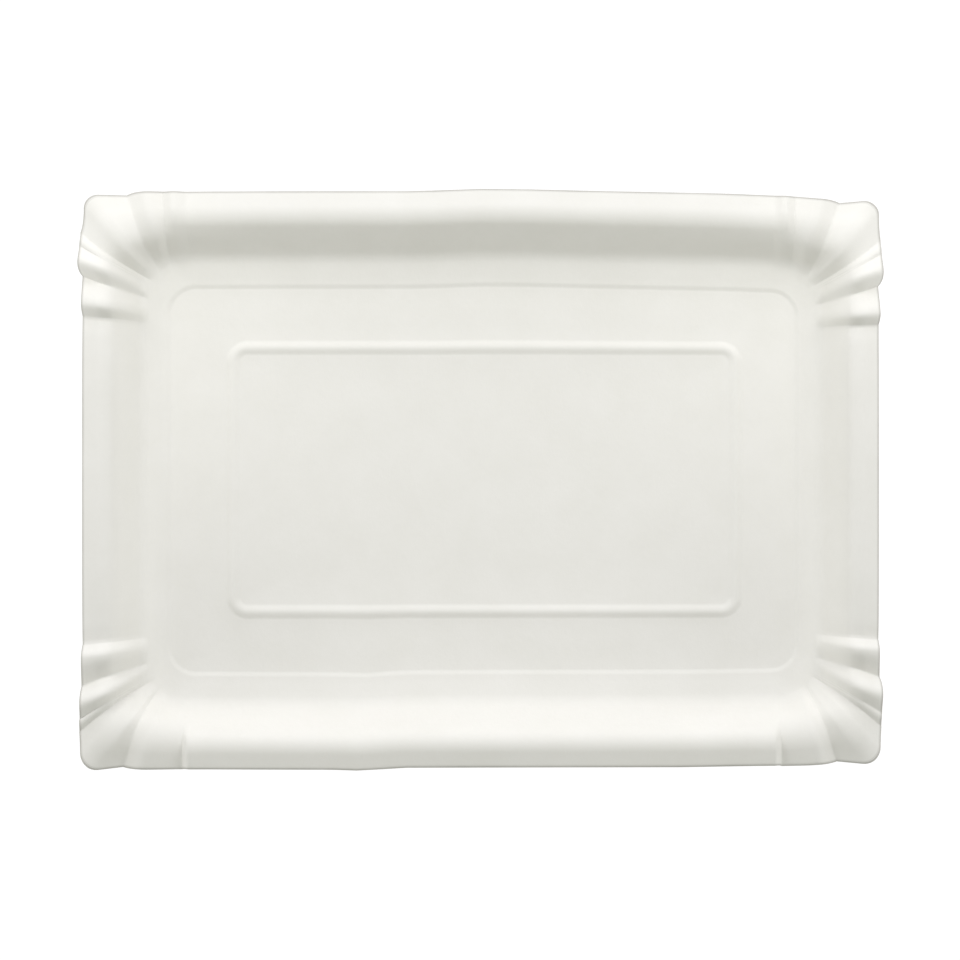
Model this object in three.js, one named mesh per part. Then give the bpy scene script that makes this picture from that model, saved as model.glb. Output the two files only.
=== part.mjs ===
// Rectangular serving tray pressed from one sheet of white paperboard.
//
// The sheet is modelled as a middle surface that is then given the board's
// thickness: a flat floor with a raised bead in the form of a rounded
// rectangle, a small step up to a narrow band, a concave foot, a sloping wall,
// a rounded crest and a flank that turns down to the cut edge. At the four
// corners the surplus board is gathered into a fan of flutes.
//
// Millimetres, +Z up. The tray rests on z = 0, long sides along X, and the
// origin is under its middle.

import * as THREE from 'three';

// ---------------------------------------------------------------- dimensions

const BOARD = 0.6;            // thickness of the paperboard

const EDGE_X = 139.2;         // half length to the straight cut edge
const EDGE_Y = 101.0;         // half width to the straight cut edge
const EDGE_R = 4.9;           // plan radius of the outer corner

const FOOT_X = 117.2;         // inner end of the concave foot, half length
const FOOT_Y = 76.1;          // inner end of the concave foot, half width
const FOOT_R = 10.6;          // plan radius of the foot at a corner

const STEP_X = 110.8;         // middle of the step, half length
const STEP_Y = 68.4;          // middle of the step, half width
const STEP_R = 9.5;           // plan radius of the step at a corner
const STEP_HALF = 1.2;        // half width of the step
const STEP_RISE = 0.7;        // how far the band's inner side is above the floor
const BAND_RISE = 2.15;       // how far the band's outer side is above the floor

const BEAD_X = 88.5;          // centre line of the raised bead, half length
const BEAD_Y = 46.5;          // centre line of the raised bead, half width
const BEAD_R = 5.2;           // plan radius of that centre line at a corner
const BEAD_HALF = 2.85;       // half width of the bead
const BEAD_RISE = 0.8;        // height of the bead above the floor

// Section across a long side, measured in plan from the cut edge inwards.
const FLANK_END = 5.3;        // flank runs into the crest
const WALL_TOP = 12.3;        // crest runs into the wall
const WALL_FOOT = 21.0;       // wall runs into the concave foot
const SECTION = 25.55;        // inner end of the foot
const FLANK_SLOPE = 26;       // degrees, falling outwards
const WALL_SLOPE = 49;        // degrees, falling inwards
const BAND_SLOPE = 14;        // degrees, falling inwards
// In the fans the wall is short and steep and rolls over early into the rim.
const SOFT_WALL_TOP = 17.2;
const SOFT_WALL_SLOPE = 54;

// Flutes of one corner, from the short side round to the long side, valleys
// and ridges by turns. Each row:
//   where the line meets the cut edge, as a length along the edge from the
//   middle of the short side,
//   where it meets the end of the foot, as a length along that line,
//   how far the board is raised there at the cut edge,
//   and how far half way up the wall,
//   how far the cut edge bulges outwards there,
//   how far the line bows along the edge half way,
//   how far the section there is the early rolled one.
const FLUTES = [
  { edge: 57.9,  foot: 55.2, rise: -1.9, wall: -1.0, bulge: 0.0,  bow: 0.0,  soft: 0.2 },   // start of the fan
  { edge: 62.3,  foot: 59.0, rise: 2.7,  wall: 2.0,  bulge: 0.3,  bow: 0.0,  soft: 0.2 },
  { edge: 72.3,  foot: 64.1, rise: -2.4, wall: -1.4, bulge: 0.1,  bow: -0.5, soft: 0.3 },
  { edge: 77.3,  foot: 65.9, rise: 2.7,  wall: 1.6,  bulge: 1.5,  bow: 1.3,  soft: 0.3 },
  { edge: 87.3,  foot: 70.4, rise: -2.5, wall: -1.7, bulge: 0.9,  bow: -1.2, soft: 0.4 },
  { edge: 97.7,  foot: 72.7, rise: -0.8, wall: 1.9,  bulge: 0.1,  bow: 0.0,  soft: 1.0 },   // corner ridge
  { edge: 114.0, foot: 74.7, rise: -2.4, wall: -0.5, bulge: -1.0, bow: -0.8, soft: 1.0 },
  { edge: 121.5, foot: 76.9, rise: 1.5,  wall: 1.4,  bulge: 0.2,  bow: 0.0,  soft: 1.0 },
  { edge: 129.5, foot: 81.0, rise: -0.4, wall: -0.3, bulge: 0.1,  bow: 0.0,  soft: 1.0 },
  { edge: 134.9, foot: 86.5, rise: 1.1,  wall: 0.3,  bulge: 0.0,  bow: 0.0,  soft: 0.4 },   // end of the fan
];
const WALL_PART = 0.4;        // part of the board's run from foot to edge where "wall" holds
const RIDGE_ROUND = 0.38;     // part of a flute's face that eases over into its ridge
const DIP = [                 // beside the fan the rim comes back to its height and section
  { away: 24, part: 0, soft: 0.15 },
  { away: 14, part: 0.12, soft: 0.28 },
  { away: 6, part: 0.35, soft: 0.36 },
];

// Sections taken through each flute face, as parts of its width.
const CUTS_UP = [0, 0.34, 0.66, 0.84];
const CUTS_DOWN = [0, 0.16, 0.34, 0.66];
const CUTS_CORNER_IN = [0, 0.3, 0.6, 0.75, 0.85, 0.93];
const CUTS_CORNER_OUT = [0, 0.09, 0.18, 0.28, 0.38, 0.68];
const CUTS = [
  CUTS_UP, CUTS_DOWN, CUTS_UP, CUTS_DOWN, CUTS_CORNER_IN,
  CUTS_CORNER_OUT, CUTS_UP, CUTS_DOWN, CUTS_UP, [0],
];

// Rows of the rim and wall, as distances in the long side's section.
const ROWS = [0, FLANK_END, 7.1, 8.9, 10.6, WALL_TOP, 14.6, 16.9, WALL_FOOT, 23.2, SECTION];
const ARC_STEPS = 6;          // segments in each rounded corner of the floor

// ------------------------------------------------------------------- section

const rad = THREE.MathUtils.degToRad;
const FLOOR_MID = BOARD / 2;

// Height of the middle surface over the floor, and the length of board from
// the end of the foot, at a distance d in from the cut edge.
function section(d, wallSlope = WALL_SLOPE, wallTop = WALL_TOP) {
  const zFoot = FLOOR_MID + BAND_RISE;
  const sinBand = Math.sin(rad(BAND_SLOPE));
  const sinWall = Math.sin(rad(wallSlope));
  const footRadius = (SECTION - WALL_FOOT) / (sinWall - sinBand);
  const crestRadius = (wallTop - FLANK_END) / (sinWall + Math.sin(rad(FLANK_SLOPE)));
  if (d >= WALL_FOOT) {
    const a = Math.asin(sinBand + (SECTION - d) / footRadius);
    return { z: zFoot + footRadius * (Math.cos(rad(BAND_SLOPE)) - Math.cos(a)),
             length: footRadius * (a - rad(BAND_SLOPE)) };
  }
  const foot = section(WALL_FOOT, wallSlope, wallTop);
  if (d >= wallTop) {
    return { z: foot.z + (WALL_FOOT - d) * Math.tan(rad(wallSlope)),
             length: foot.length + (WALL_FOOT - d) / Math.cos(rad(wallSlope)) };
  }
  const wall = section(wallTop, wallSlope, wallTop);
  if (d >= FLANK_END) {
    const a = Math.asin(sinWall - (wallTop - d) / crestRadius);
    return { z: wall.z + crestRadius * (Math.cos(a) - Math.cos(rad(wallSlope))),
             length: wall.length + crestRadius * (rad(wallSlope) - a) };
  }
  const crest = section(FLANK_END, wallSlope, wallTop);
  return { z: crest.z - (FLANK_END - d) * Math.tan(rad(FLANK_SLOPE)),
           length: crest.length + (FLANK_END - d) / Math.cos(rad(FLANK_SLOPE)) };
}

const BOARD_RUN = section(0).length;

// ---------------------------------------------------------------- plan lines

// Point on a quarter of a rounded rectangle, at a length s from the middle of
// its short side, with the outward direction there.
function quarter(halfX, halfY, radius, s) {
  const side = halfY - radius;
  const arc = radius * Math.PI / 2;
  if (s <= side) return { x: halfX, y: s, nx: 1, ny: 0 };
  if (s <= side + arc) {
    const a = (s - side) / radius;
    return { x: halfX - radius + radius * Math.cos(a), y: side + radius * Math.sin(a),
             nx: Math.cos(a), ny: Math.sin(a) };
  }
  return { x: halfX - radius - (s - side - arc), y: halfY, nx: 0, ny: 1 };
}

const quarterLength = (halfX, halfY, radius) => halfX + halfY - 2 * radius + radius * Math.PI / 2;
const EDGE_LENGTH = quarterLength(EDGE_X, EDGE_Y, EDGE_R);
const FOOT_LENGTH = quarterLength(FOOT_X, FOOT_Y, FOOT_R);

const mix = (a, b, w) => a + (b - a) * w;

// Height from valley (0) to ridge (1) across one face of a flute: straight,
// then rounded over into the ridge.
function face(w) {
  const k = 1 / (1 - RIDGE_ROUND / 2);
  return w < 1 - RIDGE_ROUND ? k * w : 1 - k * (1 - w) * (1 - w) / (2 * RIDGE_ROUND);
}

// One column runs from the cut edge to the end of the foot.
function column(edge, foot, rise, wall, bulge, bow, soft) {
  const e = quarter(EDGE_X, EDGE_Y, EDGE_R, edge);
  const f = quarter(FOOT_X, FOOT_Y, FOOT_R, foot);
  return { ex: e.x + e.nx * bulge, ey: e.y + e.ny * bulge, fx: f.x, fy: f.y,
           bx: -e.ny * bow, by: e.nx * bow, rise, wall, soft };
}

const quarterColumns = [];
const first = FLUTES[0];
const last = FLUTES[FLUTES.length - 1];
quarterColumns.push(column(0, 0, 0, 0, 0, 0, 0));
for (const dip of DIP) {
  quarterColumns.push(column(first.edge - dip.away, first.foot - dip.away,
    first.rise * dip.part, first.wall * dip.part, 0, 0, dip.soft / 2));
}
for (let k = 0; k < FLUTES.length; k++) {
  const a = FLUTES[k];
  const b = FLUTES[Math.min(k + 1, FLUTES.length - 1)];
  const upwards = k % 2 === 0;
  for (const w of CUTS[k]) {
    const h = upwards ? face(w) : 1 - face(1 - w);
    quarterColumns.push(column(
      mix(a.edge, b.edge, w), mix(a.foot, b.foot, w), mix(a.rise, b.rise, h), mix(a.wall, b.wall, h),
      mix(a.bulge, b.bulge, upwards ? 1 - (1 - w) ** 3 : w), mix(a.bow, b.bow, w), mix(a.soft, b.soft, h)));
  }
}
for (const dip of [...DIP].reverse()) {
  quarterColumns.push(column(last.edge + dip.away, last.foot + dip.away,
    last.rise * dip.part, last.wall * dip.part, 0, 0, dip.soft));
}
quarterColumns.push(column(EDGE_LENGTH, FOOT_LENGTH, 0, 0, 0, 0, 0));

// Mirror the quarter round the whole tray, anticlockwise seen from above.
const columns = [];
const mirrored = (c, sx, sy) => ({
  ex: c.ex * sx, ey: c.ey * sy, fx: c.fx * sx, fy: c.fy * sy, bx: c.bx * sx, by: c.by * sy,
  rise: c.rise, wall: c.wall, soft: c.soft,
});
const forwards = quarterColumns.slice(0, -1);
const backwards = quarterColumns.slice(1).reverse();
for (const c of forwards) columns.push(mirrored(c, 1, 1));
for (const c of backwards) columns.push(mirrored(c, -1, 1));
for (const c of forwards) columns.push(mirrored(c, -1, -1));
for (const c of backwards) columns.push(mirrored(c, 1, -1));

// ------------------------------------------------------------ middle surface

const points = [];            // { p: Vector3, flat: bool }
const faces = [];             // anticlockwise seen from above

function addPoint(x, y, z, flat = false) {
  points.push({ p: new THREE.Vector3(x, y, z), flat });
  return points.length - 1;
}

// Strip between two rings with the same number of points, outer one first.
function strip(outer, inner) {
  const n = outer.length;
  for (let j = 0; j < n; j++) {
    const k = (j + 1) % n;
    faces.push([outer[j], outer[k], inner[k]], [outer[j], inner[k], inner[j]]);
  }
}

// Strip between two rings with different numbers of points, both starting at
// the middle of the +X side and going round anticlockwise.
function stitch(outer, inner) {
  const along = (ring) => {
    const out = [0];
    for (let j = 0; j < ring.length; j++) {
      out.push(out[j] + points[ring[j]].p.distanceTo(points[ring[(j + 1) % ring.length]].p));
    }
    return out.map((v) => v / out[ring.length]);
  };
  const a = along(outer);
  const b = along(inner);
  let i = 0;
  let j = 0;
  while (i < outer.length || j < inner.length) {
    const o = outer[i % outer.length];
    const q = inner[j % inner.length];
    if (j >= inner.length || (i < outer.length && a[i + 1] <= b[j + 1])) {
      faces.push([o, outer[(i + 1) % outer.length], q]);
      i++;
    } else {
      faces.push([o, inner[(j + 1) % inner.length], q]);
      j++;
    }
  }
}

// How far a column is raised at a part of the board's run from the foot.
function raised(c, part) {
  if (part <= WALL_PART) return c.wall * Math.sin((Math.PI / 2) * part / WALL_PART);
  const w = (part - WALL_PART) / (1 - WALL_PART);
  return mix(c.wall, c.rise, w * w * (3 - 2 * w));
}

const rings = [];
for (const d of ROWS) {
  const t = d / SECTION;
  const { z, length } = section(d);
  const zSoft = section(d, SOFT_WALL_SLOPE, SOFT_WALL_TOP).z;
  const part = d >= SECTION ? 0 : length / BOARD_RUN;
  const swing = d >= SECTION ? 0 : Math.sin(Math.PI * t);
  rings.push(columns.map((c) => addPoint(
    mix(c.ex, c.fx, t) + c.bx * swing, mix(c.ey, c.fy, t) + c.by * swing,
    mix(z, zSoft, c.soft) + raised(c, part))));
}
const edgeRing = rings[0];
for (let r = 0; r + 1 < rings.length; r++) strip(rings[r], rings[r + 1]);

// A rounded rectangle with a point in the middle of each side.
function floorRing(halfX, halfY, radius, z, flat) {
  const quarterPoints = [[halfX, 0]];
  for (let k = 0; k <= ARC_STEPS; k++) {
    const a = (Math.PI / 2) * (k / ARC_STEPS);
    quarterPoints.push([halfX - radius + radius * Math.cos(a), halfY - radius + radius * Math.sin(a)]);
  }
  quarterPoints.push([0, halfY]);
  const f = quarterPoints.slice(0, -1);
  const b = quarterPoints.slice(1).reverse();
  const all = [
    ...f.map(([x, y]) => [x, y]), ...b.map(([x, y]) => [-x, y]),
    ...f.map(([x, y]) => [-x, -y]), ...b.map(([x, y]) => [x, -y]),
  ];
  return all.map(([x, y]) => addPoint(x, y, z, flat));
}
const offsetRing = (halfX, halfY, radius, by, z, flat = false) =>
  floorRing(halfX + by, halfY + by, radius + by, z, flat);

// Band and step.
const stepRings = [
  offsetRing(STEP_X, STEP_Y, STEP_R, STEP_HALF, FLOOR_MID + STEP_RISE),
  offsetRing(STEP_X, STEP_Y, STEP_R, STEP_HALF * 0.4, FLOOR_MID + STEP_RISE * 0.78),
  offsetRing(STEP_X, STEP_Y, STEP_R, -STEP_HALF * 0.4, FLOOR_MID + STEP_RISE * 0.22),
  offsetRing(STEP_X, STEP_Y, STEP_R, -STEP_HALF, FLOOR_MID, true),
];
stitch(rings[rings.length - 1], stepRings[0]);
for (let r = 0; r + 1 < stepRings.length; r++) strip(stepRings[r], stepRings[r + 1]);

// Flat floor, bead, and the flat floor inside the bead.
const beadRings = [
  offsetRing(BEAD_X, BEAD_Y, BEAD_R, BEAD_HALF, FLOOR_MID, true),
  offsetRing(BEAD_X, BEAD_Y, BEAD_R, BEAD_HALF * 0.6, FLOOR_MID + BEAD_RISE * 0.35),
  offsetRing(BEAD_X, BEAD_Y, BEAD_R, BEAD_HALF * 0.25, FLOOR_MID + BEAD_RISE * 0.88),
  offsetRing(BEAD_X, BEAD_Y, BEAD_R, 0, FLOOR_MID + BEAD_RISE),
  offsetRing(BEAD_X, BEAD_Y, BEAD_R, -BEAD_HALF * 0.25, FLOOR_MID + BEAD_RISE * 0.88),
  offsetRing(BEAD_X, BEAD_Y, BEAD_R, -BEAD_HALF * 0.6, FLOOR_MID + BEAD_RISE * 0.35),
  offsetRing(BEAD_X, BEAD_Y, BEAD_R, -BEAD_HALF, FLOOR_MID, true),
];
strip(stepRings[stepRings.length - 1], beadRings[0]);
for (let r = 0; r + 1 < beadRings.length; r++) strip(beadRings[r], beadRings[r + 1]);

const centreRing = beadRings[beadRings.length - 1];
const centreOutline = centreRing.map((i) => new THREE.Vector2(points[i].p.x, points[i].p.y));
for (const [a, b, c] of THREE.ShapeUtils.triangulateShape(centreOutline, [])) {
  faces.push([centreRing[a], centreRing[b], centreRing[c]]);
}

// ------------------------------------------------------- give it a thickness

const normals = points.map(() => new THREE.Vector3());
for (const [a, b, c] of faces) {
  const ab = points[b].p.clone().sub(points[a].p);
  const ac = points[c].p.clone().sub(points[a].p);
  const n = ab.cross(ac);
  for (const i of [a, b, c]) normals[i].add(n);
}
normals.forEach((n, i) => {
  if (points[i].flat) n.set(0, 0, 1);
  else n.normalize();
});

const vertices = [];
for (const side of [0.5, -0.5]) {
  points.forEach(({ p }, i) => {
    vertices.push(p.clone().addScaledVector(normals[i], side * BOARD));
  });
}
const under = points.length;
const triangles = [];
for (const [a, b, c] of faces) {
  triangles.push([a, b, c]);
  triangles.push([under + a, under + c, under + b]);
}
for (let j = 0; j < edgeRing.length; j++) {
  const a = edgeRing[j];
  const b = edgeRing[(j + 1) % edgeRing.length];
  triangles.push([under + a, under + b, b], [under + a, b, a]);
}

const geometry = new THREE.BufferGeometry();
geometry.setAttribute('position', new THREE.Float32BufferAttribute(vertices.flatMap((v) => [v.x, v.y, v.z]), 3));
geometry.setIndex(triangles.flat());
geometry.computeVertexNormals();

const board = new THREE.MeshStandardMaterial({ color: 0xe9e8e1, roughness: 0.8, metalness: 0 });
const tray = new THREE.Mesh(geometry, board);
tray.name = 'tray';

const root = new THREE.Group();
root.add(tray);

export default root;
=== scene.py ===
import math

import bpy
import numpy as np
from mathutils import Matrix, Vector


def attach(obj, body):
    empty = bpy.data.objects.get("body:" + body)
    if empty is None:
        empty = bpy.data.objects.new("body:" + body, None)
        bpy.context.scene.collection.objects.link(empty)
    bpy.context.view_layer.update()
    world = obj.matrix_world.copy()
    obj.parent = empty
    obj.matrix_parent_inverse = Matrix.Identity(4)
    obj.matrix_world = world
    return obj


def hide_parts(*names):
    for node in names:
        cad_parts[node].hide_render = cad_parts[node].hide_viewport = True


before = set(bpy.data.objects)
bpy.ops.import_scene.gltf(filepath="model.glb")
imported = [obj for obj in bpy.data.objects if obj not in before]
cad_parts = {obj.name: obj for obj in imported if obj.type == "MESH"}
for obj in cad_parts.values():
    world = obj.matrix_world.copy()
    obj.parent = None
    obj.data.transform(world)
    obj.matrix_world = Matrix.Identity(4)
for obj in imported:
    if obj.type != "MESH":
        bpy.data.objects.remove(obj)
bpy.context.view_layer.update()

# ----------------------------------------------------------------------------
# Dimensions in millimetres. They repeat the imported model's, with the small
# chances of pressing that the four corners and the two long edges show.
# ----------------------------------------------------------------------------

BOARD = 0.6

EDGE_X, EDGE_Y, EDGE_R = 139.2, 101.0, 4.9
FOOT_X, FOOT_Y, FOOT_R = 117.2, 76.1, 10.6
STEP_X, STEP_Y, STEP_R = 110.8, 68.4, 9.5
STEP_RISE, STEP_HALF, BAND_RISE = 0.7, 1.2, 2.15
BEAD_X, BEAD_Y, BEAD_R = 88.5, 46.5, 5.2
BEAD_HALF, BEAD_RISE = 2.85, 0.8

FLANK_END, WALL_TOP, WALL_FOOT, SECTION = 5.3, 12.3, 21.0, 25.55
FLANK_SLOPE, WALL_SLOPE, BAND_SLOPE = 26.0, 49.0, 14.0
# In the fans the wall is short and steep and rolls over early into the rim.
SOFT_WALL_TOP, SOFT_WALL_SLOPE = 17.2, 54.0

# Flutes of one corner from the short side round to the long side: where each
# line meets the cut edge and the end of the foot, its height there and half
# way up the wall, a sideways bow, whether it is a valley (0) or a ridge (1),
# and how far the section there is the early rolled one.
FLUTES = [
    (57.9, 55.2, -1.9, -1.0, 0.0, 0, 0.2),
    (62.3, 59.0, 2.7, 2.0, 0.0, 1, 0.2),
    (72.3, 64.1, -2.4, -1.4, -0.5, 0, 0.3),
    (77.3, 65.9, 2.7, 1.6, 1.3, 1, 0.3),
    (82.9, 69.2, -0.7, -0.45, -0.4, 0, 0.4),
    (83.9, 69.6, -0.55, -0.9, -0.6, 1, 0.4),
    (87.3, 70.4, -2.5, -1.7, -1.2, 0, 0.4),
    (97.7, 72.7, -0.8, 1.9, 0.0, 1, 1.0),
    (114.0, 74.7, -2.4, -0.5, -0.8, 0, 1.0),
    (121.5, 76.9, 1.5, 1.4, 0.0, 1, 1.0),
]
# The last lines of the fan on the long side differ between the two long sides.
LAST_FLUTES = {
    1: [(126.6, 79.3, 0.1, -0.2, 0.0, 0, 1.0), (130.6, 82.5, 2.2, 0.6, 0.0, 1, 0.7), (135.0, 87.0, -0.9, -0.3, 0.0, 0, 0.4)],
    -1: [(132.9, 84.2, -0.4, -0.3, 0.0, 0, 1.0), (135.6, 86.5, 1.1, 0.3, 0.0, 1, 0.4)],
}
# Beyond the fan the rim comes back to its height and section: distance, share
# of the height, share of the early rolled section.
RETURN = [(60.0, 0.0, 0.0), (24.0, 0.0, 0.15), (14.0, 0.12, 0.28), (6.0, 0.35, 0.36)]

# What the four corners do not share: for every line how far it sits further
# along the edge, and how far the edge bulges out there.
CORNERS = {
    (-1, 1): ([0.0] * 13,
              [0.0, 0.3, 0.1, 1.6, 1.2, 1.1, 0.9, -0.3, -1.0, 0.2, 0.1, 0.1, 0.0]),
    (1, 1): ([-1.2, -1.4, -1.2, -1.0, -0.5, -0.5, -0.2, 0.0, -1.9, -1.6, 1.2, 0.8, -0.3],
             [0.1, 0.5, 0.0, 1.6, 1.2, 1.1, 0.9, 0.3, -1.4, -0.3, 0.0, 0.0, 0.0]),
    (-1, -1): ([0.0, 0.0, 0.5, 1.0, 1.3, 1.3, 1.4, 3.5, -1.4, -1.0, 0.7, 0.6],
               [0.0, 0.3, 0.5, 0.9, 1.1, 1.2, 1.3, 1.0, -0.5, 0.2, 0.1, 0.0]),
    (1, -1): ([-0.2, -0.6, -0.8, 0.2, 1.2, 1.2, 1.5, 3.0, -0.9, -1.5, -0.4, -0.4],
              [0.0, 0.2, 0.5, 1.4, 1.3, 1.2, 1.2, 0.9, -0.6, 0.1, 0.3, 0.0]),
}


def mix(a, b, w):
    return a + (b - a) * w


def smooth(x):
    x = np.clip(x, 0.0, 1.0)
    return x * x * (3.0 - 2.0 * x)


FLOOR_MID = BOARD / 2
SIN_F, COS_F = math.sin(math.radians(FLANK_SLOPE)), math.cos(math.radians(FLANK_SLOPE))
SIN_B, COS_B = math.sin(math.radians(BAND_SLOPE)), math.cos(math.radians(BAND_SLOPE))


def section(d, wall_slope=WALL_SLOPE, wall_top=WALL_TOP):
    """Height over the floor, and board length from the end of the foot, at distance d in from the cut edge."""
    sin_w, cos_w = math.sin(math.radians(wall_slope)), math.cos(math.radians(wall_slope))
    foot_rad = (SECTION - WALL_FOOT) / (sin_w - SIN_B)
    crest_rad = (wall_top - FLANK_END) / (sin_w + SIN_F)
    z0 = FLOOR_MID + BAND_RISE
    if d >= WALL_FOOT:
        a = math.asin(SIN_B + (SECTION - d) / foot_rad)
        return z0 + foot_rad * (COS_B - math.cos(a)), foot_rad * (a - math.radians(BAND_SLOPE))
    zf, lf = section(WALL_FOOT, wall_slope, wall_top)
    if d >= wall_top:
        return zf + (WALL_FOOT - d) * sin_w / cos_w, lf + (WALL_FOOT - d) / cos_w
    zw, lw = section(wall_top, wall_slope, wall_top)
    if d >= FLANK_END:
        a = math.asin(sin_w - (wall_top - d) / crest_rad)
        return zw + crest_rad * (math.cos(a) - cos_w), lw + crest_rad * (math.radians(wall_slope) - a)
    zc, lc = section(FLANK_END, wall_slope, wall_top)
    run = FLANK_END - d
    lip = max(0.0, 0.8 - d)
    return zc - run * SIN_F / COS_F - 0.45 * lip * lip, lc + run / COS_F


RUN = section(0.0)[1]


def quarter(hx, hy, r, s):
    """Points on a quarter of a rounded rectangle at lengths s from the middle of its short side, and outward directions."""
    side = hy - r
    arc = r * math.pi / 2
    s = np.asarray(s, float)
    a = np.clip((s - side) / r, 0.0, math.pi / 2)
    x = hx - r + r * np.cos(a) - np.maximum(s - side - arc, 0.0)
    y = np.minimum(s, side) + r * np.sin(a)
    return x, y, np.cos(a), np.sin(a)


def quarter_length(hx, hy, r):
    return hx + hy - 2 * r + r * math.pi / 2


EDGE_LEN = quarter_length(EDGE_X, EDGE_Y, EDGE_R)
FOOT_LEN = quarter_length(FOOT_X, FOOT_Y, FOOT_R)

RIDGE_ROUND = 0.38      # share of a face that eases over into the ridge
VALLEY_ROUND = 0.10     # and into the valley


def face(w):
    """Height from valley (0) to ridge (1) across one face of a flute."""
    v, r = VALLEY_ROUND, RIDGE_ROUND
    k = 1.0 / (1.0 - v / 2 - r / 2)
    return np.where(w < v, k * w * w / (2 * v), np.where(w < 1 - r, k * (w - v / 2), 1 - k * (1 - w) ** 2 / (2 * r)))


def corner_columns(lines, shifts, bulges):
    """Columns of one corner from the middle of the short side to the middle of the long side."""
    fan = []
    for (e, f, re, rw, bow, k, soft), shift, bulge in zip(lines, shifts, bulges):
        fan.append((e + shift, f + 0.4 * min(shift, 0.5), re, rw, bulge, bow, k, soft))
    first, last = fan[0], fan[-1]
    keys = [(0.0, 0.0, 0.0, 0.0, 0.0, 0.0, 2, 0.0)]
    for away, part, soft in RETURN[1:]:
        keys.append((first[0] - away, first[1] - away, first[2] * part, first[3] * part, 0.0, 0.0, 2, soft / 2))
    keys += fan
    for away, part, soft in reversed(RETURN[1:]):
        keys.append((last[0] + away, last[1] + away, last[2] * part, last[3] * part, 0.0, 0.0, 2, soft))
    keys.append((EDGE_LEN, FOOT_LEN, 0.0, 0.0, 0.0, 0.0, 2, 0.0))
    out = []
    for a, b in zip(keys[:-1], keys[1:]):
        ka, kb = a[6], b[6]
        if ka == 2 or kb == 2:
            n = 9 if b[0] - a[0] > 20 else 4
            w = np.arange(n) / n
            h = w
        elif ka == 0:
            n = max(6, min(17, round((b[0] - a[0]) * 1.4)))
            w = (np.arange(n) / n) ** 1.15
            h = face(w)
        else:
            n = max(6, min(17, round((b[0] - a[0]) * 1.4)))
            w = 1.0 - (1.0 - np.arange(n) / n) ** 1.15
            h = 1.0 - face(1.0 - w)
        out.append(np.stack([
            mix(a[0], b[0], w), mix(a[1], b[1], w), mix(a[2], b[2], h), mix(a[3], b[3], h),
            mix(a[4], b[4], 1.0 - (1.0 - w) ** 3 if ka == 0 else w), mix(a[5], b[5], w), mix(a[7], b[7], h),
        ], 1))
    out.append(np.array([keys[-1][:6] + keys[-1][7:]]))
    return np.concatenate(out)


def all_columns():
    """Columns of the whole tray, anticlockwise from the middle of the +X side."""
    out = []
    for (sx, sy), backwards in (((1, 1), False), ((-1, 1), True), ((-1, -1), False), ((1, -1), True)):
        c = corner_columns(FLUTES + LAST_FLUTES[sy], *CORNERS[(sx, sy)])
        ex, ey, nx, ny = quarter(EDGE_X, EDGE_Y, EDGE_R, c[:, 0])
        fx, fy, _, _ = quarter(FOOT_X, FOOT_Y, FOOT_R, c[:, 1])
        ax, ay = -ny * c[:, 5], nx * c[:, 5]
        q = np.stack([
            sx * (ex + nx * c[:, 4]), sy * (ey + ny * c[:, 4]), sx * fx, sy * fy, c[:, 2], c[:, 3],
            np.full(len(c), sx), np.full(len(c), sy), c[:, 1], sx * ax, sy * ay, c[:, 6],
        ], 1)
        if backwards:
            q = q[::-1]
        out.append(q[:-1])
    return np.concatenate(out)


COL = all_columns()
N = len(COL)


def ring_like_foot(hx, hy, r):
    """A rounded rectangle whose points follow the columns: straight runs, arcs and middles fall together."""
    f = COL[:, 8]
    side, arc = FOOT_Y - FOOT_R, FOOT_R * math.pi / 2
    end = FOOT_X - FOOT_R
    s = np.where(
        f < side, f / side * (hy - r),
        np.where(f < side + arc, hy - r + (f - side) / arc * (r * math.pi / 2),
                 hy - r + r * math.pi / 2 + (f - side - arc) / end * (hx - r)))
    x, y, _, _ = quarter(hx, hy, r, s)
    return COL[:, 6] * x, COL[:, 7] * y


rows = []          # each: N points
MID = 0.40         # share of the run at which the second height of a flute holds


def rise(part):
    if part >= MID:
        return mix(COL[:, 5], COL[:, 4], float(smooth((part - MID) / (1 - MID))))
    return COL[:, 5] * math.sin(math.pi / 2 * max(part, 0.0) / MID)


def rim_row(d):
    t = d / SECTION
    z, run = section(d)
    z = mix(z, section(d, SOFT_WALL_SLOPE, SOFT_WALL_TOP)[0], COL[:, 11])
    bow = math.sin(math.pi * t)
    x = mix(COL[:, 0], COL[:, 2], t) + COL[:, 9] * bow
    y = mix(COL[:, 1], COL[:, 3], t) + COL[:, 10] * bow
    rows.append(np.stack([x, y, z + rise(run / RUN)], 1))


for d in np.concatenate([
    np.array([0.0, 0.2, 0.4, 0.8]), np.linspace(1.4, FLANK_END, 5), np.linspace(FLANK_END, WALL_TOP, 11)[1:],
    np.linspace(WALL_TOP, WALL_FOOT, 10)[1:], np.linspace(WALL_FOOT, SECTION, 8)[1:],
]):
    rim_row(float(d))


def floor_row(hx, hy, r, by, z):
    x, y = ring_like_foot(hx + by, hy + by, r + by)
    rows.append(np.stack([x, y, np.full(N, z)], 1))


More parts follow.
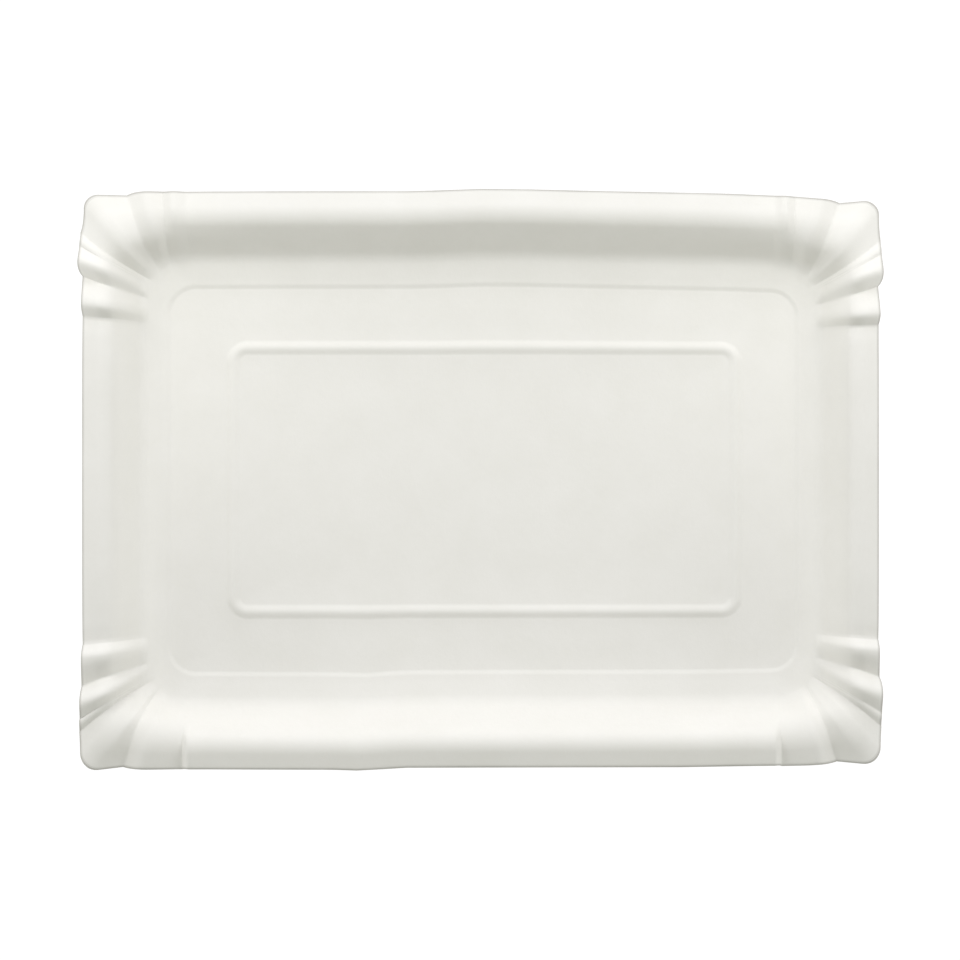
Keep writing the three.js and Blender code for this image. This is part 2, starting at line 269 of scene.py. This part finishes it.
foot_end = rows[-1]
band_in = np.stack([*ring_like_foot(STEP_X + STEP_HALF, STEP_Y + STEP_HALF, STEP_R + STEP_HALF),
                    np.full(N, FLOOR_MID + STEP_RISE)], 1)
for w in (0.33, 0.67):
    rows.append(mix(foot_end, band_in, w))
for k in range(9):
    w = k / 8
    floor_row(STEP_X, STEP_Y, STEP_R, STEP_HALF * (1 - 2 * w), FLOOR_MID + STEP_RISE * (1.0 - float(smooth(w))))
for w in (0.3, 0.7):
    a = np.stack([*ring_like_foot(STEP_X - STEP_HALF, STEP_Y - STEP_HALF, STEP_R - STEP_HALF), np.full(N, FLOOR_MID)], 1)
    b = np.stack([*ring_like_foot(BEAD_X + BEAD_HALF, BEAD_Y + BEAD_HALF, BEAD_R + BEAD_HALF), np.full(N, FLOOR_MID)], 1)
    rows.append(mix(a, b, w))
for k in range(13):
    w = -1.0 + k / 6
    floor_row(BEAD_X, BEAD_Y, BEAD_R, -w * BEAD_HALF, FLOOR_MID + BEAD_RISE * (0.5 + 0.5 * math.cos(math.pi * w)))
inner = rows[-1]
for w in (0.7, 0.4, 0.15):
    rows.append(inner * np.array([w, w, 1.0]))

def warp(p):
    """Chances of pressing: the long edges bow and run together a little towards +X."""
    x, y = p[..., 0], p[..., 1]
    top = smooth((y - 36.0) / 32.0)
    low = smooth((-y - 36.0) / 32.0)
    by_top = np.interp(x, [-140, -124, -111, -60, -23, 0, 15, 35, 60, 85, 107, 125, 140],
                       [-0.9, -0.5, -0.4, -0.3, -0.3, 0.5, 0.4, -0.1, -0.6, -1.1, -1.9, -2.8, -3.3])
    by_low = np.interp(x, [-140, -124, -90, -50, -40, -30, 0, 70, 95, 115, 125, 140],
                       [0.1, -0.2, -0.3, -0.4, -0.8, 0.3, 0.4, 0.5, 0.9, 1.2, 1.7, 2.2])
    out = p.copy()
    out[..., 1] = y + top * by_top + low * by_low
    # step and bead sit a little off centre
    out[..., 0] = x + 1.3 * (1.0 - smooth((np.maximum(np.abs(x) / FOOT_X, np.abs(y) / FOOT_Y) - 0.8) / 0.35))
    return out


grid = warp(np.stack(rows))                # R x N x 3
R = len(grid)


def grid_normals(g):
    """Unit normals of the middle surface, averaged from the four faces round each point."""
    nxt = np.roll(g, -1, axis=1)
    a, b, c, e = g[:-1], nxt[:-1], nxt[1:], g[1:]
    n = np.cross(c - a, e - b)
    total = np.zeros_like(g)
    total[:-1] += n
    total[1:] += n
    total[:-1] += np.roll(n, 1, axis=1)
    total[1:] += np.roll(n, 1, axis=1)
    return total / np.linalg.norm(total, axis=2, keepdims=True)


normal = grid_normals(grid)
outward = grid[0] - grid[1]
outward -= (outward * normal[0]).sum(1, keepdims=True) * normal[0]
outward /= np.linalg.norm(outward, axis=1, keepdims=True)

top = grid + normal * BOARD / 2
under = grid - normal * BOARD / 2

verts = [top.reshape(-1, 3), under.reshape(-1, 3)]
EDGE_STEPS = 5
for k in range(1, EDGE_STEPS):
    a = math.pi * k / EDGE_STEPS
    verts.append(grid[0] + BOARD / 2 * (math.cos(a) * normal[0] + 0.75 * math.sin(a) * outward))
centre_top = np.array([[0.0, 0.0, top[-1, :, 2].mean()]])
centre_under = np.array([[0.0, 0.0, under[-1, :, 2].mean()]])
verts += [centre_top, centre_under]
verts = np.concatenate(verts) / 1000.0

faces, edge_faces = [], []
J = np.arange(N)
K = (J + 1) % N
for r in range(R - 1):
    o, i = r * N, (r + 1) * N
    faces.append(np.stack([o + J, o + K, i + K, i + J], 1))
    o, i = R * N + o, R * N + i
    faces.append(np.stack([o + J, i + J, i + K, o + K], 1))
base = 2 * R * N
chain = [np.arange(N)] + [base + k * N + J for k in range(EDGE_STEPS - 1)] + [R * N + J]
for k in range(EDGE_STEPS):
    a, b = chain[k], chain[k + 1]
    edge_faces.append(np.stack([a, b, b[K], a[K]], 1))
faces = np.concatenate(faces)
edge_faces = np.concatenate(edge_faces)
ct, cu = len(verts) - 2, len(verts) - 1
last_top, last_under = (R - 1) * N, R * N + (R - 1) * N
tris = [(int(last_top + j), int(last_top + (j + 1) % N), ct) for j in range(N)]
tris += [(int(last_under + (j + 1) % N), int(last_under + j), cu) for j in range(N)]

mesh = bpy.data.meshes.new("tray_board")
mesh.from_pydata(verts.tolist(), [], faces.tolist() + edge_faces.tolist() + tris)
material_index = np.zeros(len(mesh.polygons), np.int32)
material_index[len(faces):len(faces) + len(edge_faces)] = 1
for r in range(2):                         # the last 0.4 mm of the upper face, rolled over by the cutting die, takes the darker edge colour: the cut fibre's own grey and painted shade along the outline
    material_index[2 * r * N:(2 * r + 1) * N] = 1
material_index[4 * N:5 * N] = 2            # and the start of its bend a lighter step of the same edge grey and painted shade
mesh.polygons.foreach_set("material_index", material_index)
mesh.polygons.foreach_set("use_smooth", np.ones(len(mesh.polygons), bool))
mesh.update()
mesh.validate()
tray = bpy.data.objects.new("tray_board", mesh)
bpy.context.scene.collection.objects.link(tray)

# ----------------------------------------------------------------------------
# Materials
# ----------------------------------------------------------------------------


def new_material(name):
    m = bpy.data.materials.new(name)
    m.use_nodes = True
    nodes, links = m.node_tree.nodes, m.node_tree.links
    nodes.clear()
    out = nodes.new("ShaderNodeOutputMaterial")
    shader = nodes.new("ShaderNodeBsdfPrincipled")
    links.new(shader.outputs["BSDF"], out.inputs["Surface"])
    return m, nodes, links, shader


def painted_light_falloff(nodes, links, coord):
    """Painted light and shade over the sheet, a factor near 1: the panel lighter towards +Y and darker towards -Y,
    most at the sides; the walls of the short sides lighter and their flanks darker; the +Y flank darker and the -Y
    flank lighter.
    """

    def put(socket, value):
        if isinstance(value, (int, float)):
            socket.default_value = value
        else:
            links.new(value, socket)

    def calc(operation, a, b=None, c=None):
        n = nodes.new("ShaderNodeMath")
        n.operation = operation
        put(n.inputs[0], a)
        if b is not None:
            put(n.inputs[1], b)
        if c is not None:
            put(n.inputs[2], c)
        return n.outputs[0]

    def step(value, start, end, low, high):
        n = nodes.new("ShaderNodeMapRange")
        n.interpolation_type = "SMOOTHSTEP"
        put(n.inputs["Value"], value)
        n.inputs["From Min"].default_value = start
        n.inputs["From Max"].default_value = end
        n.inputs["To Min"].default_value = low
        n.inputs["To Max"].default_value = high
        return n.outputs["Result"]

    part = nodes.new("ShaderNodeSeparateXYZ")
    links.new(coord.outputs["Object"], part.inputs["Vector"])
    x = calc("ABSOLUTE", part.outputs["X"])
    y = part.outputs["Y"]
    # painted light: the panel lighter towards +Y and darker towards -Y, most at the sides
    across = step(x, 0.02, 0.11, 0.014, 0.056)
    along = calc("ADD", step(y, -0.065, 0.055, -1.0, 0.8), step(y, 0.072, 0.086, 0.0, -0.8))
    along = calc("ADD", along, step(y, -0.086, -0.074, 1.2, 0.0))
    sheet = calc("MULTIPLY", calc("MULTIPLY", across, along), step(x, 0.106, 0.118, 1.0, 0.15))
    # painted light and shade: the walls of the short sides lighter, their flanks darker
    ends = calc("ADD", step(x, 0.112, 0.119, 0.0, 0.026), step(x, 0.125, 0.132, 0.0, -0.056))
    ends = calc("MULTIPLY", ends, step(calc("ABSOLUTE", y), 0.05, 0.075, 1.0, 0.0))
    # painted shade on the +Y flank, painted light on the -Y flank, weaker towards the short ends
    flank = calc("ADD", step(y, 0.088, 0.096, 0.0, -0.045), step(y, -0.098, -0.092, 0.03, 0.0))
    flank = calc("MULTIPLY", flank, step(x, 0.08, 0.115, 1.0, 0.3))
    return calc("ADD", calc("ADD", sheet, ends), calc("ADD", flank, 1.0))


def paperboard(name, light, dark, rough, bump):
    m, nodes, links, shader = new_material(name)
    coord = nodes.new("ShaderNodeTexCoord")

    def noise(scale, detail, roughness, stretch=None):
        n = nodes.new("ShaderNodeTexNoise")
        n.inputs["Scale"].default_value = scale
        n.inputs["Detail"].default_value = detail
        n.inputs["Roughness"].default_value = roughness
        if stretch:
            mp = nodes.new("ShaderNodeMapping")
            mp.inputs["Scale"].default_value = stretch
            links.new(coord.outputs["Object"], mp.inputs["Vector"])
            links.new(mp.outputs["Vector"], n.inputs["Vector"])
        else:
            links.new(coord.outputs["Object"], n.inputs["Vector"])
        return n

    cloud = noise(55.0, 4.0, 0.55)
    fibre = noise(1500.0, 3.0, 0.6, (1.0, 0.45, 1.0))
    grain = noise(520.0, 5.0, 0.62)

    tone = nodes.new("ShaderNodeMath")
    tone.operation = "MULTIPLY_ADD"
    tone.inputs[1].default_value = 0.35
    links.new(grain.outputs["Fac"], tone.inputs[0])
    links.new(cloud.outputs["Fac"], tone.inputs[2])
    ramp = nodes.new("ShaderNodeMapRange")
    ramp.inputs["From Min"].default_value = 0.45
    ramp.inputs["From Max"].default_value = 0.90
    links.new(tone.outputs[0], ramp.inputs["Value"])
    colour = nodes.new("ShaderNodeMix")
    colour.data_type = "RGBA"
    colour.inputs[6].default_value = (*dark, 1.0)
    colour.inputs[7].default_value = (*light, 1.0)
    links.new(ramp.outputs["Result"], colour.inputs[0])
    # scale the board colour by the painted light and shade over the sheet
    colour_with_painted_light = nodes.new("ShaderNodeVectorMath")
    colour_with_painted_light.operation = "SCALE"
    links.new(colour.outputs[2], colour_with_painted_light.inputs[0])
    links.new(painted_light_falloff(nodes, links, coord), colour_with_painted_light.inputs["Scale"])
    links.new(colour_with_painted_light.outputs["Vector"], shader.inputs["Base Color"])

    gloss = nodes.new("ShaderNodeMapRange")
    gloss.inputs["To Min"].default_value = rough - 0.06
    gloss.inputs["To Max"].default_value = rough + 0.06
    links.new(grain.outputs["Fac"], gloss.inputs["Value"])
    links.new(gloss.outputs["Result"], shader.inputs["Roughness"])

    height = nodes.new("ShaderNodeMath")
    height.operation = "MULTIPLY_ADD"
    height.inputs[1].default_value = 0.45
    links.new(fibre.outputs["Fac"], height.inputs[0])
    links.new(grain.outputs["Fac"], height.inputs[2])
    bumps = nodes.new("ShaderNodeBump")
    bumps.inputs["Strength"].default_value = bump
    bumps.inputs["Distance"].default_value = 0.00012
    links.new(height.outputs[0], bumps.inputs["Height"])
    links.new(bumps.outputs["Normal"], shader.inputs["Normal"])
    shader.inputs["Specular IOR Level"].default_value = 0.3
    return m


board = paperboard("pressed_board", (0.853, 0.843, 0.800), (0.826, 0.816, 0.768), 0.62, 0.35)
# darker edge colours: the cut fibre's own grey together with painted shade that darkens the outline of the rim
cut = paperboard("board_cut_edge_grey_and_shade", (0.60, 0.59, 0.55), (0.51, 0.50, 0.46), 0.9, 0.6)
bend = paperboard("board_rolled_edge_grey_and_shade", (0.77, 0.76, 0.72), (0.73, 0.72, 0.68), 0.7, 0.4)
mesh.materials.append(board)
mesh.materials.append(cut)
mesh.materials.append(bend)

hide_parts("tray")
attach(tray, "root")

# ----------------------------------------------------------------------------
# Floor, light and camera
# ----------------------------------------------------------------------------

floor_mesh = bpy.data.meshes.new("floor")
S = 12.0
floor_mesh.from_pydata([(-S, -S, 0), (S, -S, 0), (S, S, 0), (-S, S, 0)], [], [(0, 1, 2, 3)])
floor = bpy.data.objects.new("floor", floor_mesh)
floor.location = (0, 0, -0.0002)
bpy.context.scene.collection.objects.link(floor)
fm, fn, fl, fs = new_material("pale_floor")
fs.inputs["Base Color"].default_value = (0.13, 0.13, 0.13, 1)
fs.inputs["Roughness"].default_value = 0.9
fs.inputs["Specular IOR Level"].default_value = 0.0
fs.inputs["Emission Color"].default_value = (1, 1, 1, 1)
fs.inputs["Emission Strength"].default_value = 0.955
floor_mesh.materials.append(fm)

world = bpy.data.worlds.new("studio")
bpy.context.scene.world = world
world.use_nodes = True
wn, wl = world.node_tree.nodes, world.node_tree.links
background = wn["Background"] if "Background" in wn else wn.new("ShaderNodeBackground")
direction = wn.new("ShaderNodeTexCoord")
slant = wn.new("ShaderNodeVectorMath")
slant.operation = "DOT_PRODUCT"
slant.inputs[1].default_value = (0.0, 0.22, -0.34)
wl.new(direction.outputs["Generated"], slant.inputs[0])
level = wn.new("ShaderNodeMath")
level.operation = "ADD"
level.inputs[1].default_value = 0.83
wl.new(slant.outputs["Value"], level.inputs[0])
wl.new(level.outputs[0], background.inputs["Strength"])
tint = wn.new("ShaderNodeMix")
tint.data_type = "RGBA"
tint.inputs[6].default_value = (1.0, 1.02, 0.93, 1.0)
tint.inputs[7].default_value = (1.0, 0.99, 1.05, 1.0)
side = wn.new("ShaderNodeVectorMath")
side.operation = "DOT_PRODUCT"
side.inputs[1].default_value = (0.0, 0.5, 0.0)
wl.new(direction.outputs["Generated"], side.inputs[0])
share = wn.new("ShaderNodeMath")
share.operation = "ADD"
share.inputs[1].default_value = 0.5
wl.new(side.outputs["Value"], share.inputs[0])
wl.new(share.outputs[0], tint.inputs[0])
wl.new(tint.outputs[2], background.inputs["Color"])


def softbox(name, at, size, power):
    data = bpy.data.lights.new(name, "AREA")
    data.shape = "RECTANGLE"
    data.size, data.size_y = size
    data.energy = power
    lamp = bpy.data.objects.new(name, data)
    lamp.location = at
    lamp.rotation_euler = (-Vector(at)).to_track_quat("-Z", "Y").to_euler()
    bpy.context.scene.collection.objects.link(lamp)


softbox("softbox_left", (-0.42, 0.36, 0.45), (0.30, 0.24), 1.45)
softbox("softbox_right", (0.42, 0.36, 0.45), (0.30, 0.24), 1.45)

scene = bpy.context.scene
scene.view_settings.view_transform = "Standard"
scene.view_settings.look = "None"
scene.view_settings.exposure = 0.0
scene.view_settings.gamma = 1.0

RIM_PLANE = 0.0145
DISTANCE = 2.0
cam_data = bpy.data.cameras.new("camera")
cam_data.sensor_width = 36.0
cam_data.lens = 36.0 * DISTANCE / (960 * 0.00035)
cam_data.clip_end = 50.0
camera = bpy.data.objects.new("camera", cam_data)
camera.location = (-0.000175, -0.000175, RIM_PLANE + DISTANCE)
camera.rotation_euler = (0, 0, 0)
scene.collection.objects.link(camera)
scene.camera = camera
